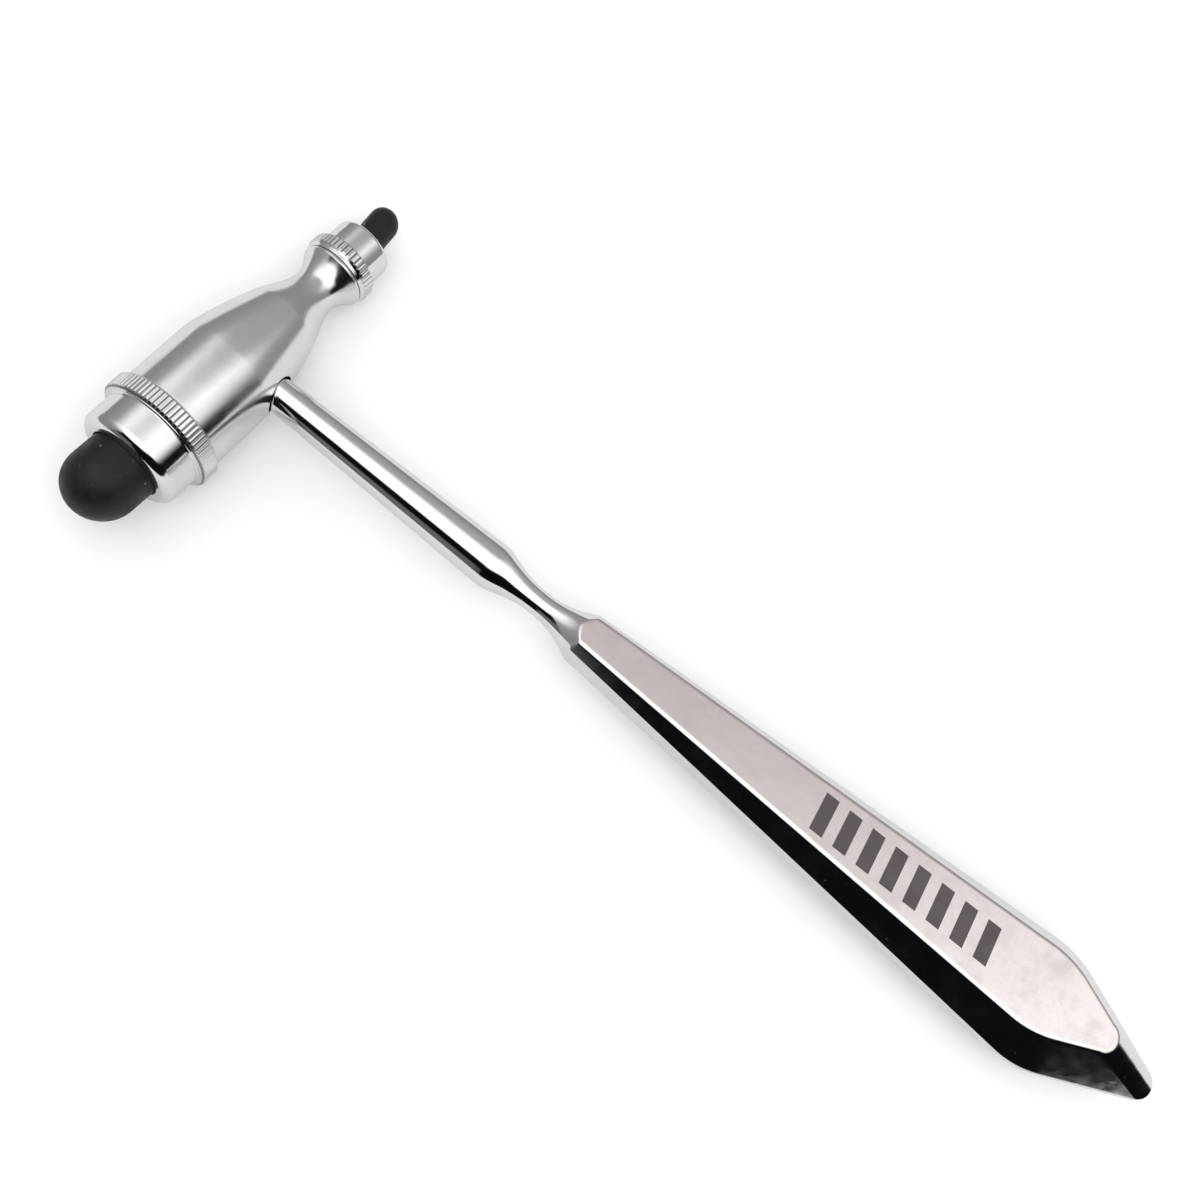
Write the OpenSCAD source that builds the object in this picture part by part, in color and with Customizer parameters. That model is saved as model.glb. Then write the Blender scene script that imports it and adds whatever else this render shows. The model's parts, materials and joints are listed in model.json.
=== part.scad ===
// Reflex hammer for neurological examination, lying on a table.
// A turned metal head carries a large and a small rubber mallet, each held by a screw cap
// with a knurled ring. A one-piece handle with a bevelled grip screws into the side of the head.
//
// Each piece is drawn in the tool's own frame and then laid down by lying():
// +X runs along the head from the large mallet to the small one, the handle runs along -Y,
// and +Z is the front of the grip. All sizes are in millimetres.

/* [Head] */
// Outer radius of the head's thick end
head_r = 12.05; // [11.6:0.05:12.5]
// Radius of the head's slim neck
neck_r = 5.05; // [4.6:0.05:5.4]
// Radius of the rim behind the small cap
rim_r = 7.45; // [7.2:0.05:7.8]
// Distance from the handle's axis to the shoulder under the large cap
large_seat = 19.6; // [18:0.1:22]
// Distance from the handle's axis to the shoulder under the small cap
small_seat = 29.4; // [28:0.1:32]

/* [Large end] */
// Radius of the large cap's plain barrel
large_cap_r = 11.4; // [11.1:0.05:11.8]
// Radius of the large cap's knurled ring, over the teeth
large_knurl_r = 13.2; // [12.9:0.05:14]
// Radius of the large mallet
large_mallet_r = 7.8; // [7:0.05:7.9]
// How far the large mallet stands out of its cap
large_mallet_out = 13.4; // [12:0.1:16]
// Number of teeth on the large knurled ring
large_teeth = 76; // [60:2:90]

/* [Small end] */
// Radius of the small cap's plain barrel
small_cap_r = 6.75; // [6.5:0.05:6.9]
// Radius of the small cap's knurled ring, over the teeth
small_knurl_r = 8.1; // [7.9:0.05:8.4]
// Radius of the small mallet
small_mallet_r = 3.5; // [3:0.05:3.7]
// How far the small mallet stands out of its cap
small_mallet_out = 10.6; // [9:0.1:13]
// Number of teeth on the small knurled ring
small_teeth = 42; // [36:2:56]

/* [Handle] */
// Distance from the head's axis to the point of the grip
reach = 232.2; // [226:0.2:238]
// Shaft radius at the head
shaft_r = 3.56; // [3.3:0.02:3.7]
// Shaft radius above the waist
shaft_low_r = 4.98; // [4.6:0.02:5.3]
// Distance from the head's axis to the slimmest place of the waist
waist_at = 79.5; // [76:0.5:84]
// Radius of the waist
waist_r = 2.67; // [2.4:0.01:3]

/* [Grip] */
// Width of the grip at its widest place
grip_w = 27.8; // [26:0.1:29]
// Thickness of the grip at its widest place
grip_t = 16; // [15.6:0.1:17]
// Width of the flat face at the same place
flat_w = 18; // [17.6:0.1:18.4]

/* [Hidden] */
$fn = 96;

CHROME = [0.80, 0.81, 0.83];
STEEL = [0.62, 0.63, 0.65];
RUBBER = [0.07, 0.07, 0.08];

run_gap = 0.05;      // radial clearance of a thread or stem in its hole
face_gap = 0.1;      // gap between faces that are screwed together
cut_over = 1;        // how far a cutting shape runs past a face
thread_depth = 0.6;  // height of a thread's ridge, as a share of its pitch
core = 0.08;         // share of the pitch at the foot of a ridge that stays plain
edge_cut = 0.2;      // small chamfer on turned edges

// Head outline: the control points [radius, x] of its three curves
straight_end_x = -4;
slope_x = 13.3;
slope_r = 8.45;
neck_x = 23.7;
rim_foot = [rim_r - 0.15, small_seat - 0.85];
rim_t = 0.7;
head_bend = [[head_r, straight_end_x], [head_r - 0.1, straight_end_x + 3.2], [10.4, 6.4],
             [slope_r, slope_x]];
head_slope = [[slope_r, slope_x], [7.1, 17.1], [neck_r, 20.2], [neck_r, neck_x]];
head_flare = [[neck_r, neck_x], [neck_r, 25.6], [6.3, 27.3], rim_foot];

// Large end: stations along X, all negative
large_spigot_r = 9.525;
large_pitch = 1.27;
large_spigot_len = 7.9;
large_wall = 1.8;
large_ring_t = 4.4;
large_lip_t = 0.3;
large_lip_drop = 0.2;
large_edge_r = 2.2;
large_flange_r = 9.25;
large_flange_t = 1.7;
large_washer_t = 0.9;
large_stem_r = 3;
large_stem_len = 6;
large_back_x = -large_seat - face_gap;
large_spigot_x = -large_seat - large_spigot_len;
large_washer_x = large_spigot_x - face_gap;
large_flange_x = large_washer_x - large_washer_t - face_gap;
large_wall_x = large_flange_x - large_flange_t - face_gap;
large_front_x = large_wall_x - large_wall;
large_ring_x = large_back_x - large_ring_t;
large_tip_x = large_front_x - large_mallet_out;

// Small end: stations along X, all positive
small_spigot_r = 5.1;
small_pitch = 0.91;
small_spigot_len = 6.1;
small_wall = 1.8;
small_ring_t = 3.7;
small_smooth_t = 1.5;
small_smooth_back = 0.55;   // how far the smooth cone behind the teeth stays below them, at its back
small_smooth_front = 0.2;   // and at the teeth
small_edge_r = 1;
small_flange_r = 4.85;
small_flange_t = 1.4;
small_washer_t = 0.8;
small_stem_r = 1.7;
small_stem_len = 4;
small_back_x = small_seat + face_gap;
small_spigot_x = small_seat + small_spigot_len;
small_washer_x = small_spigot_x + face_gap;
small_flange_x = small_washer_x + small_washer_t + face_gap;
small_wall_x = small_flange_x + small_flange_t + face_gap;
small_front_x = small_wall_x + small_wall;
small_ring_x = small_back_x + small_ring_t;
small_tip_x = small_front_x + small_mallet_out;

mallet_gap = 0.2;    // radial gap between a mallet and the mouth of its cap
tooth_t = 0.42;      // depth of a knurl tooth
knurl_edge = 0.4;    // chamfer at the edges of a knurled ring

// Handle: distances from the head's axis, measured along the handle
socket_d = 7;        // floor of the counterbore the shaft enters
socket_gap = 0.5;    // radial gap round the shaft in its counterbore
lock_t = 0.8;
lock_inner_r = 2.6;
stud_r = 2.41;
stud_pitch = 1.06;
stud_len = 10;
stud_room = 1.2;     // free depth beyond the stud
shoulder_d = socket_d + lock_t + 2 * face_gap;
shaft_end_d = waist_at - 13;
flare_bend = 20.5;   // radius of the hollow, trumpet-like curve from the waist into the grip

// Grip
grip_start_d = waist_at;
half_w = grip_w / 2;
half_t = grip_t / 2;
half_flat = flat_w / 2;
wide_d = reach - 25.3;
flat_wide_d = wide_d - 2.8;
side_taper = 4.38;   // angle of the grip's side to its axis
flat_taper = 2.79;   // angle of the flat's side to its axis
flat_rise = 1.46;    // angle by which each flat face climbs towards the point
point_half = 24.5;   // half of the angle of the grip's point
shoulder_r = 20;     // rounding of the outline at the widest place
flat_tip_r = 3.5;    // rounding of the flat face's point
band_start = 2.93;   // half height of the blunt edge at the narrow end
band_fall = 1.06;    // angle at which the blunt edge narrows
nose_band = 0.8;     // half height of the blunt edge at the point
skin = 0.01;         // thickness of the outlines that span the grip
start_w = half_w - (wide_d - grip_start_d) * tan(side_taper);
flat_start_w = half_flat - (flat_wide_d - grip_start_d) * tan(flat_taper);
nose_r = (wide_d + half_w / tan(point_half) - reach) / (1 / sin(point_half) - 1);
nose_d = reach - nose_r;

// The lying position: the large knurled ring, the end of the head's straight part and the point
// of the grip's back face touch the table
ring_rest_x = large_back_x - large_lip_t - knurl_edge;
roll = atan((large_knurl_r - head_r) / (straight_end_x - ring_rest_x));
tip_rest_x = flat_tip_r * cos(point_half);
tip_rest_d = flat_wide_d + half_flat / tan(point_half) - flat_tip_r / sin(point_half)
    + flat_tip_r * sin(point_half);
tip_rest_z = half_t + (tip_rest_d - flat_wide_d) * tan(flat_rise);
rest_r = large_knurl_r + (ring_rest_x - tip_rest_x) * tan(roll);
pitch = asin(rest_r / norm([tip_rest_d, tip_rest_z])) - atan(tip_rest_z / tip_rest_d);
lift = ring_rest_x * sin(roll) + large_knurl_r * cos(roll);
head_span = (large_tip_x + large_mallet_r + small_tip_x - small_mallet_r) * cos(roll);
centre_x = -(head_span - large_mallet_r + small_mallet_r) / 2;
centre_y = (reach - large_knurl_r) / 2;

module lying() {
    translate([centre_x, centre_y, lift]) rotate([pitch, roll, 0]) children();
}

// A solid of revolution about the head's axis, from points [radius, x]
module turned(points) {
    rotate([0, 90, 0]) rotate_extrude() polygon(points);
}

// A solid of revolution about the handle's axis, from points [radius, distance from the head's axis]
module turned_handle(points) {
    rotate([90, 0, 0]) rotate_extrude() polygon(points);
}

// A plain cylinder along the head's axis from x0 to x1
module rod(r, x0, x1) {
    translate([min(x0, x1), 0, 0]) rotate([0, 90, 0]) cylinder(h = abs(x1 - x0), r = r);
}

// Points of a cubic curve through its four control points, without the first one
function bezier(p, steps) = [for (i = [1:steps]) let (t = i / steps, s = 1 - t)
    s * s * s * p[0] + 3 * s * s * t * p[1] + 3 * s * t * t * p[2] + t * t * t * p[3]];
function reversed(list) = [for (i = [len(list) - 1:-1:0]) list[i]];

// Ridges of a screw thread as points [radius, station], counted from station start over length len
function root_r(r, pitch) = r - thread_depth * pitch;
function ridges(r, pitch, start, len, dir) = [for (i = [0:floor(len / pitch) - 1]) for (k = [0:2])
    [k == 1 ? r : root_r(r, pitch), start + dir * pitch * (i + [core, 0.5, 1 - core][k])]];

// A ring of straight teeth about the head's axis, with chamfered edges
module knurled_ring(r, teeth, x0, x1) {
    lo = min(x0, x1);
    hi = max(x0, x1);
    intersection() {
        translate([lo, 0, 0]) rotate([0, 90, 0]) linear_extrude(hi - lo)
            polygon([for (i = [0:2 * teeth - 1]) let (q = i % 2 == 0 ? r : r - tooth_t)
                [q * cos(i * 180 / teeth), q * sin(i * 180 / teeth)]]);
        turned([[0, lo], [r - knurl_edge, lo], [r + tooth_t, lo + knurl_edge + tooth_t],
                [r + tooth_t, hi - knurl_edge - tooth_t], [r - knurl_edge, hi], [0, hi]]);
    }
}

module head_body() {
    large_root_r = root_r(large_spigot_r, large_pitch);
    small_root_r = root_r(small_spigot_r, small_pitch);
    color(CHROME) lying() difference() {
        turned(concat(
            [[0, large_spigot_x], [large_root_r, large_spigot_x]],
            ridges(large_spigot_r, large_pitch, large_spigot_x, large_spigot_len - 1, 1),
            [[large_root_r, -large_seat], [head_r - edge_cut, -large_seat],
             [head_r, edge_cut - large_seat], [head_r, straight_end_x]],
            bezier(head_bend, 10), bezier(head_slope, 10), bezier(head_flare, 8),
            [[rim_r, small_seat - rim_t], [rim_r, small_seat - edge_cut], [rim_r - edge_cut, small_seat],
             [small_root_r, small_seat]],
            reversed(ridges(small_spigot_r, small_pitch, small_spigot_x, small_spigot_len - 1, -1)),
            [[small_root_r, small_spigot_x], [0, small_spigot_x]]));
        // holes for the stems of the two mallets
        rod(large_stem_r + run_gap, large_spigot_x - cut_over, large_flange_x + large_stem_len + cut_over);
        rod(small_stem_r + run_gap, small_flange_x - small_stem_len - cut_over, small_spigot_x + cut_over);
        // counterbore and threaded hole for the handle
        translate([0, -socket_d, 0]) rotate([90, 0, 0]) cylinder(h = head_r, r = shaft_r + socket_gap);
        translate([0, stud_len + stud_room - shoulder_d, 0]) rotate([90, 0, 0])
            cylinder(h = stud_len + stud_room, r = stud_r + run_gap);
    }
}

// A screw cap: barrel with a rounded front edge and a mouth for the mallet, in one piece with its ring
module cap_shell(back, ring, front, barrel_r, edge, bore_r, wall, mouth_r) {
    dir = sign(front - back);
    difference() {
        union() {
            rod(barrel_r, ring - dir * cut_over, front - dir * edge);
            rod(barrel_r - edge, ring, front);
            translate([front - dir * edge, 0, 0]) rotate([0, 90, 0])
                rotate_extrude() translate([barrel_r - edge, 0]) circle(edge, $fn = 48);
            children();
        }
        rod(bore_r, back - dir * cut_over, wall);
        rod(mouth_r, back - dir * cut_over, front + dir * cut_over);
    }
}

module large_cap() {
    color(CHROME) lying()
        cap_shell(large_back_x, large_ring_x, large_front_x, large_cap_r, large_edge_r,
                  large_spigot_r + run_gap, large_wall_x, large_mallet_r + mallet_gap) {
            knurled_ring(large_knurl_r, large_teeth, large_ring_x, large_back_x - large_lip_t);
            rod(large_knurl_r - large_lip_drop - tooth_t, large_back_x - 2 * large_lip_t, large_back_x);
        }
}

module small_cap() {
    color(CHROME) lying()
        cap_shell(small_back_x, small_ring_x, small_front_x, small_cap_r, small_edge_r,
                  small_spigot_r + run_gap, small_wall_x, small_mallet_r + mallet_gap) {
            knurled_ring(small_knurl_r, small_teeth, small_back_x + small_smooth_t, small_ring_x);
            turned([[0, small_back_x], [small_knurl_r - small_smooth_back, small_back_x],
                    [small_knurl_r - small_smooth_front, small_back_x + small_smooth_t],
                    [0, small_back_x + small_smooth_t]]);
        }
}

// A mallet: round nose, barrel, a flange trapped inside the cap and a stem
module mallet(r, tip, flange_x, flange_t, flange_r, stem_r, stem_len) {
    dir = sign(tip - flange_x);
    union() {
        translate([tip - dir * r, 0, 0]) sphere(r);
        rod(r, flange_x, tip - dir * r);
        rod(flange_r, flange_x, flange_x + dir * flange_t);
        rod(stem_r, flange_x + dir * flange_t / 2, flange_x - dir * stem_len);
    }
}

module large_mallet() {
    color(RUBBER) lying() mallet(large_mallet_r, large_tip_x, large_flange_x, large_flange_t,
                                 large_flange_r, large_stem_r, large_stem_len);
}

module small_mallet() {
    color(RUBBER) lying() mallet(small_mallet_r, small_tip_x, small_flange_x, small_flange_t,
                                 small_flange_r, small_stem_r, small_stem_len);
}

module washer(x0, x1, outer_r, inner_r) {
    difference() {
        rod(outer_r, x0, x1);
        rod(inner_r, min(x0, x1) - cut_over, max(x0, x1) + cut_over);
    }
}

module large_backing_washer() {
    color(STEEL) lying()
        washer(large_washer_x, large_washer_x - large_washer_t, large_flange_r, large_stem_r + run_gap);
}

module small_backing_washer() {
    color(STEEL) lying()
        washer(small_washer_x, small_washer_x + small_washer_t, small_flange_r, small_stem_r + run_gap);
}

module shaft_lock_washer() {
    color(STEEL) lying() translate([0, -socket_d - face_gap, 0]) rotate([90, 0, 0]) difference() {
        cylinder(h = lock_t, r = shaft_r + 0.1);
        translate([0, 0, -cut_over]) cylinder(h = lock_t + 2 * cut_over, r = lock_inner_r);
    }
}

// An arc of radius r that rounds the corner b between a and c
function unit(v) = v / norm(v);
function rounded(a, b, c, r, steps = 10) = let (
    u = unit(a - b), v = unit(c - b), half = acos(u * v) / 2,
    mid = b + unit(u + v) * r / sin(half),
    first = b + u * r / tan(half) - mid, last = b + v * r / tan(half) - mid,
    turn = sign(cross(first, last)) * (180 - 2 * half))
    [for (i = [0:steps]) let (t = turn * i / steps)
        mid + [first[0] * cos(t) - first[1] * sin(t), first[0] * sin(t) + first[1] * cos(t)]];

// A kite-like outline: narrow end, rounded shoulders at the widest place and a rounded point
module grip_outline(start_w, wide_w, wide_d, shoulder_r, tip_r) {
    start = [start_w, -grip_start_d];
    wide = [wide_w, -wide_d];
    tip = [0, -wide_d - wide_w / tan(point_half)];
    side = rounded(start, wide, tip, shoulder_r);
    nose = rounded(wide, tip, [-wide[0], wide[1]], tip_r);
    last = len(side) - 1;
    polygon(concat([start], side, nose, [for (i = [last:-1:0]) [-side[i][0], side[i][1]]],
                   [[-start_w, -grip_start_d]]));
}

// Lays a thin outline so that it passes height z at distance d and climbs by angle towards the point
module climbing(z, d, angle) {
    translate([0, -d, z - skin]) rotate([-angle, 0, 0]) translate([0, d, 0]) linear_extrude(skin) children();
}

module grip_blade() {
    hull() for (front = [0, 1]) mirror([0, 0, front]) {
        climbing(half_t, flat_wide_d, flat_rise)
            grip_outline(flat_start_w, half_flat, flat_wide_d, shoulder_r, flat_tip_r);
        climbing(band_start, grip_start_d, -band_fall)
            grip_outline(start_w, half_w, wide_d, shoulder_r, nose_r);
        translate([0, -nose_d, 0]) cylinder(h = nose_band, r = nose_r, $fn = 64);
    }
}

module handle() {
    stud_start_d = shoulder_d - stud_len;
    stud_root_r = root_r(stud_r, stud_pitch);
    waist_curve = [[shaft_low_r, shaft_end_d], [shaft_low_r, shaft_end_d + 4], [waist_r, shaft_end_d + 5.8],
                   [waist_r, waist_at]];
    color(CHROME) lying() union() {
        turned_handle(concat(
            [[0, stud_start_d], [stud_root_r, stud_start_d]],
            ridges(stud_r, stud_pitch, stud_start_d, stud_len - 1.5, 1),
            [[stud_root_r, shoulder_d], [shaft_r - edge_cut, shoulder_d], [shaft_r, shoulder_d + edge_cut],
             [shaft_low_r, shaft_end_d]],
            bezier(waist_curve, 12), [[0, waist_at]]));
        difference() {
            grip_blade();
            translate([0, -waist_at, 0]) rotate([90, 0, 0]) rotate_extrude()
                translate([waist_r + flare_bend, 0]) circle(flare_bend);
        }
    }
}

head_body();
large_cap();
large_mallet();
large_backing_washer();
small_cap();
small_mallet();
small_backing_washer();
handle();
shaft_lock_washer();
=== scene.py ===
import json
import math

import bpy
import numpy as np
from mathutils import Matrix, Vector, geometry


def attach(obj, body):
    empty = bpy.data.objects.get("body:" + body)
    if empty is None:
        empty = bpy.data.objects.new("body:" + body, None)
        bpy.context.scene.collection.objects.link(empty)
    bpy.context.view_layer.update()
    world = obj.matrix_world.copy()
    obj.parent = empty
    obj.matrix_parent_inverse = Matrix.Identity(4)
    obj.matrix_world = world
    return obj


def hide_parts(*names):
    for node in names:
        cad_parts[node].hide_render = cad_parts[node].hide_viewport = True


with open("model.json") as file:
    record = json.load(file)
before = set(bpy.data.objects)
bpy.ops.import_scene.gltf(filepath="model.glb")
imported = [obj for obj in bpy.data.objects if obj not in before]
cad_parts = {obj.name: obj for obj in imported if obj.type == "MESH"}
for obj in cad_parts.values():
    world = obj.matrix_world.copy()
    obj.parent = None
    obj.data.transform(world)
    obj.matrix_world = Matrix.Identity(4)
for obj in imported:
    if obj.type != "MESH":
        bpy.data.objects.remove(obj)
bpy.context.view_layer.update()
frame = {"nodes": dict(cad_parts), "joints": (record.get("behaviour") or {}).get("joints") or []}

# ---------------------------------------------------------------- the tool's own frame
# Shapes are worked out in millimetres in the tool's frame: +X along the head towards the small
# mallet, the handle along -Y, +Z out of the front of the grip. The joints say where that frame lies.
MM = 0.001
joints = {j["name"]: j for j in frame["joints"]}


def joint_line(name):
    return Vector(joints[name]["pos_m"]), Vector(joints[name]["axis"])


head_point, head_axis = joint_line("small_cap_turn")
handle_point, handle_axis = joint_line("handle_turn")
tool_x = head_axis.normalized()
tool_z = tool_x.cross(-handle_axis).normalized()
tool_y = tool_z.cross(tool_x)
crossing, _ = geometry.intersect_line_line(head_point, head_point + head_axis,
                                           handle_point, handle_point + handle_axis)
TURN = np.array([tool_x, tool_y, tool_z])
ORIGIN = np.array(crossing)


def to_world(points_mm):
    return np.asarray(points_mm, float) @ TURN * MM + ORIGIN


# ---------------------------------------------------------------- sizes, in millimetres
HEAD_R, NECK_R, RIM_R = 12.05, 5.05, 7.45
LARGE_SEAT, SMALL_SEAT = 19.6, 29.4
STRAIGHT_END_X, NECK_X = -4.0, 23.7
BEND_R, BEND_X = 8.45, 13.3             # where the curve of the body meets the one into the neck
RIM_FOOT_R, RIM_FOOT_X = 7.3, 28.55     # where the neck meets the rim
HOLE_R = 4.06
SOCKET_D = 7.0

REACH = 232.2
SHAFT_R, SHAFT_LOW_R = 3.56, 4.98
SHOULDER_D = 8.0
WAIST_D, WAIST_R = 79.5, 2.67
SHAFT_END_D = WAIST_D - 13
FLARE_BEND = 20.5       # radius of the hollow curve from the waist into the grip
STUD_R, STUD_PITCH, STUD_LEN, STUD_ROOM = 2.41, 1.06, 10.0, 1.2

GRIP_START_D = WAIST_D
FLARE_OUT_D = 95.0      # the grip's planes are clear of the hollow curve here
HALF_W, HALF_T, HALF_FLAT = 13.9, 8.0, 9.0
WIDE_D = REACH - 25.3
FLAT_WIDE_D = WIDE_D - 2.8
SIDE_TAPER, FLAT_TAPER = math.radians(4.38), math.radians(2.79)
FLAT_RISE = math.radians(1.46)
POINT_HALF = math.radians(24.5)
SHOULDER_R, FLAT_TIP_R = 20.0, 3.5
BAND_START, BAND_FALL, NOSE_BAND = 2.93, math.radians(1.06), 0.8
NOSE_R = (WIDE_D + HALF_W / math.tan(POINT_HALF) - REACH) / (1 / math.sin(POINT_HALF) - 1)
FLAT_EDGE_R, BLUNT_EDGE_R = 1.5, 0.4

THREAD_DEPTH = 0.6      # of the pitch
TOOTH_DEPTH, TOOTH_CROWN, GROOVE_SHARE = 0.34, 0.1, 0.3
RUN_GAP = 0.05


# ---------------------------------------------------------------- mesh tools
def unit(v):
    v = np.asarray(v, float)
    return v / np.linalg.norm(v, axis=-1, keepdims=True)


class Shape:
    """Collects grids of points with their outward normals, and makes one smooth mesh of them."""

    def __init__(self):
        self.points, self.normals, self.faces, self.count = [], [], [], 0
        self.grooves = []

    def grid(self, points, normals, wrap=True, groove=None):
        """Adds a grid of rows and columns; wrap joins the last column to the first. groove says how
        deep in a groove each point is, from 0 to 1."""
        rows, columns = points.shape[:2]
        ids = self.count + np.arange(rows * columns).reshape(rows, columns)
        if wrap:
            ids = np.concatenate([ids, ids[:, :1]], 1)
        a, b, c, d = ids[:-1, :-1], ids[:-1, 1:], ids[1:, 1:], ids[1:, :-1]
        quads = np.stack([a, b, c, d], -1).reshape(-1, 4)
        p, n = points.reshape(-1, 3), normals.reshape(-1, 3)
        corners = p[quads - self.count]
        facing = np.cross(corners[:, 2] - corners[:, 0], corners[:, 3] - corners[:, 1])
        if (facing * n[quads - self.count].sum(1)).sum() < 0:
            quads = quads[:, ::-1]
        self.points.append(p)
        self.normals.append(n)
        self.grooves.append(np.zeros(len(p)) if groove is None else groove.reshape(-1))
        self.faces.append(quads)
        self.count += len(p)

    def build(self, name):
        points, normals = np.concatenate(self.points), unit(np.concatenate(self.normals))
        keys = np.round(np.concatenate([points * 2000, normals * 40], 1)).astype(np.int64)
        _, first, where = np.unique(keys, axis=0, return_index=True, return_inverse=True)
        where = where.reshape(-1)
        points, normals = points[first], normals[first]
        # At the tip of a cone, points in one place keep their own normals: a face uses only one.
        spot = np.unique(keys[first][:, :3], axis=0, return_inverse=True)[1].reshape(-1)
        grooves = np.concatenate(self.grooves)[first]
        faces = []
        for quad in where[np.concatenate(self.faces)].tolist():
            face = [v for i, v in enumerate(quad) if spot[v] != spot[quad[i - 1]]]
            if len(set(face)) == len(face) > 2:
                faces.append(face)
        mesh = bpy.data.meshes.new(name)
        mesh.from_pydata(to_world(points).tolist(), [], faces)
        mesh.shade_smooth()
        place = mesh.attributes.new("place", "FLOAT_VECTOR", "POINT")
        place.data.foreach_set("vector", points.astype(np.float32).ravel())
        groove = mesh.attributes.new("groove", "FLOAT", "POINT")
        groove.data.foreach_set("value", grooves.astype(np.float32))
        mesh.normals_split_custom_set_from_vertices((normals @ TURN).tolist())
        obj = bpy.data.objects.new(name, mesh)
        bpy.context.scene.collection.objects.link(obj)
        return obj


class Axis:
    """Turned surfaces about one axis. Stations run along it, and angles turn right-handed about it."""

    def __init__(self, along, start):
        self.along, self.u = np.array(along, float), np.array(start, float)
        self.v = np.cross(self.along, self.u)

    def out(self, angles):
        angles = np.asarray(angles)[..., None]
        return np.cos(angles) * self.u + np.sin(angles) * self.v

    def round(self, angles):
        angles = np.asarray(angles)[..., None]
        return np.cos(angles) * self.v - np.sin(angles) * self.u

    def turned(self, shape, runs, segments=256, angles=None):
        """Turns each run, a list of (radius, station) points with their normals, about the axis."""
        if angles is None:
            angles = np.arange(segments) * 2 * math.pi / segments
        out = self.out(angles)[None]
        for p, n in runs:
            points = p[:, 0, None, None] * out + p[:, 1, None, None] * self.along
            normals = n[:, 0, None, None] * out + n[:, 1, None, None] * self.along
            shape.grid(points, normals)

    def field(self, shape, radius, stations, angles, inside=False, groove=None):
        """A surface whose radius is a function of station and angle, such as a thread or a knurl.
        groove gives the depth in a groove, from 0 to 1, at a radius."""
        s, t = np.meshgrid(stations, angles, indexing="ij")
        r = radius(s, t)
        step = 1e-3
        by_s = (radius(s + step, t) - radius(s - step, t)) / (2 * step)
        by_t = (radius(s, t + step) - radius(s, t - step)) / (2 * step)
        out = self.out(t)
        points = r[..., None] * out + s[..., None] * self.along
        normals = unit(out - (by_t / r)[..., None] * self.round(t) - by_s[..., None] * self.along)
        shape.grid(points, -normals if inside else normals, groove=None if groove is None else groove(r))


def outline(corners, arc_step=math.radians(7)):
    """Smooth runs along a turned outline of (radius, station, rounding) corners. A rounding of 0 is
    a sharp corner. Walking towards +station along the outside, the surface faces outwards."""
    pts = np.array([c[:2] for c in corners], float)
    runs, run_p, run_n = [], [], []

    def facing(a, b):
        d = unit(b - a)
        return np.array([d[1], -d[0]])

    for i in range(len(pts)):
        if i == 0 or i == len(pts) - 1:
            n = facing(pts[0], pts[1]) if i == 0 else facing(pts[-2], pts[-1])
            run_p.append(pts[i])
            run_n.append(n)
            continue
        n0, n1 = facing(pts[i - 1], pts[i]), facing(pts[i], pts[i + 1])
        rounding = corners[i][2]
        if rounding <= 0:
            run_p.append(pts[i])
            run_n.append(n0)
            runs.append((np.array(run_p), np.array(run_n)))
            run_p, run_n = [pts[i]], [n1]
            continue
        back, on = unit(pts[i - 1] - pts[i]), unit(pts[i + 1] - pts[i])
        half = math.acos(float(np.clip(back @ on, -1, 1))) / 2
        centre = pts[i] + unit(back + on) * rounding / math.sin(half)
        sign = 1 if n0 @ (pts[i] - centre) > 0 else -1
        turn = math.pi - 2 * half
        steps = max(3, int(math.ceil(turn / arc_step)))
        for k in range(steps + 1):
            t = k / steps
            n = (math.sin((1 - t) * turn) * n0 + math.sin(t * turn) * n1) / math.sin(turn)
            run_p.append(centre + sign * rounding * n)
            run_n.append(n)
    runs.append((np.array(run_p), np.array(run_n)))
    return runs


def bezier(a, b, c, d, steps=120):
    """Points and outward normals of a cubic outline curve through (radius, station) control points."""
    a, b, c, d = (np.array(v, float) for v in (a, b, c, d))
    t = np.linspace(0, 1, steps + 1)[:, None]
    p = (1 - t) ** 3 * a + 3 * (1 - t) ** 2 * t * b + 3 * (1 - t) * t ** 2 * c + t ** 3 * d
    v = 3 * (1 - t) ** 2 * (b - a) + 6 * (1 - t) * t * (c - b) + 3 * t ** 2 * (d - c)
    v = unit(v)
    return p, np.stack([v[:, 1], -v[:, 0]], 1)


def fillet(corner, to_a, to_b, radius, steps):
    """Arcs that round a row of convex corners between two directions, as points and normals."""
    half = np.arccos(np.clip((to_a * to_b).sum(-1, keepdims=True), -1, 1)) / 2
    centre = corner + unit(to_a + to_b) * radius / np.sin(half)
    n0 = unit(corner + to_a * radius / np.tan(half) - centre)
    n1 = unit(corner + to_b * radius / np.tan(half) - centre)
    turn = math.pi - 2 * half
    normals = [(np.sin((1 - t) * turn) * n0 + np.sin(t * turn) * n1) / np.sin(turn)
               for t in np.linspace(0, 1, steps + 1)]
    normals = np.stack(normals, -2)
    return centre[..., None, :] + radius * normals, normals


def triangle_wave(t):
    return 1 - 2 * np.abs(t - np.floor(t) - 0.5)


def smooth_step(low, high, v):
    t = np.clip((v - low) / (high - low), 0, 1)
    return t * t * (3 - 2 * t)


def thread(crest_r, pitch, first, last, gap=0.0):
    """Radius of a right-hand thread with flattened crests that fades out at its last station."""
    depth = THREAD_DEPTH * pitch

    def radius(s, t):
        wave = np.clip(triangle_wave(s / pitch - t / (2 * math.pi)) * 1.3 - 0.15, 0, 1)
        fade = smooth_step(last, last - 0.8 * pitch, s) * smooth_step(first, first + 0.5 * pitch, s)
        return crest_r + gap - depth + depth * wave * fade

    return radius


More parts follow.
